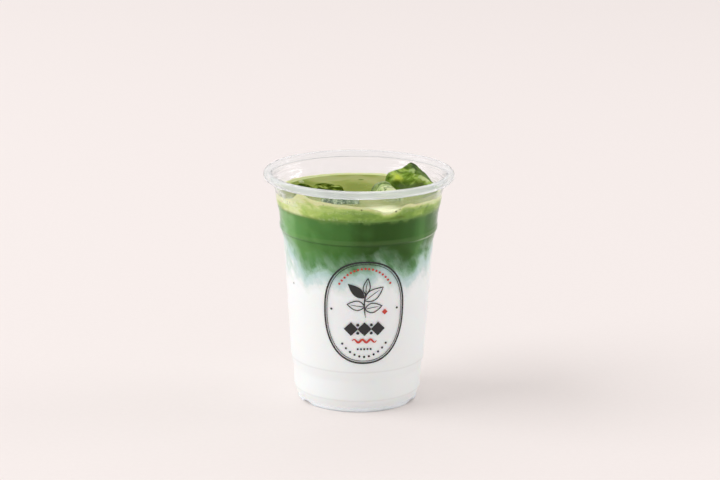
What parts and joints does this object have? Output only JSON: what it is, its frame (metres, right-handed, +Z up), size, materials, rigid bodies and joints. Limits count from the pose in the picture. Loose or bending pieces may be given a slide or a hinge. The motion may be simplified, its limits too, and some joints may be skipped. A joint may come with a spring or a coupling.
{
  "type": "iced matcha latte",
  "caption": "Iced matcha latte in a clear plastic cup: white milk, green matcha and pale foam in layers, with ice standing out of the foam.",
  "frame": {"origin": "centre of the ring the cup stands on, in the plane of the table", "axes": "+Z up along the cup's axis, -Y towards the side with the printed emblem"},
  "size_m": [0.098, 0.098, 0.1207],
  "materials": {
    "cup_plastic": "clear, gloss",
    "milk": "smooth liquid",
    "matcha": "smooth liquid, cloudy towards the milk",
    "foam": "fine foam with small bubbles",
    "ice": "melting, wet gloss",
    "print": "ink on the outside of the cup"
  },
  "bodies": {
    "root": {"cup": "cup_plastic", "milk": "milk", "matcha": "matcha", "foam": "foam", "ice_back_right": "ice", "ice_middle": "ice", "ice_left": "ice", "ice_far_left": "ice", "ice_front": "ice"}
  },
  "joints": []
}
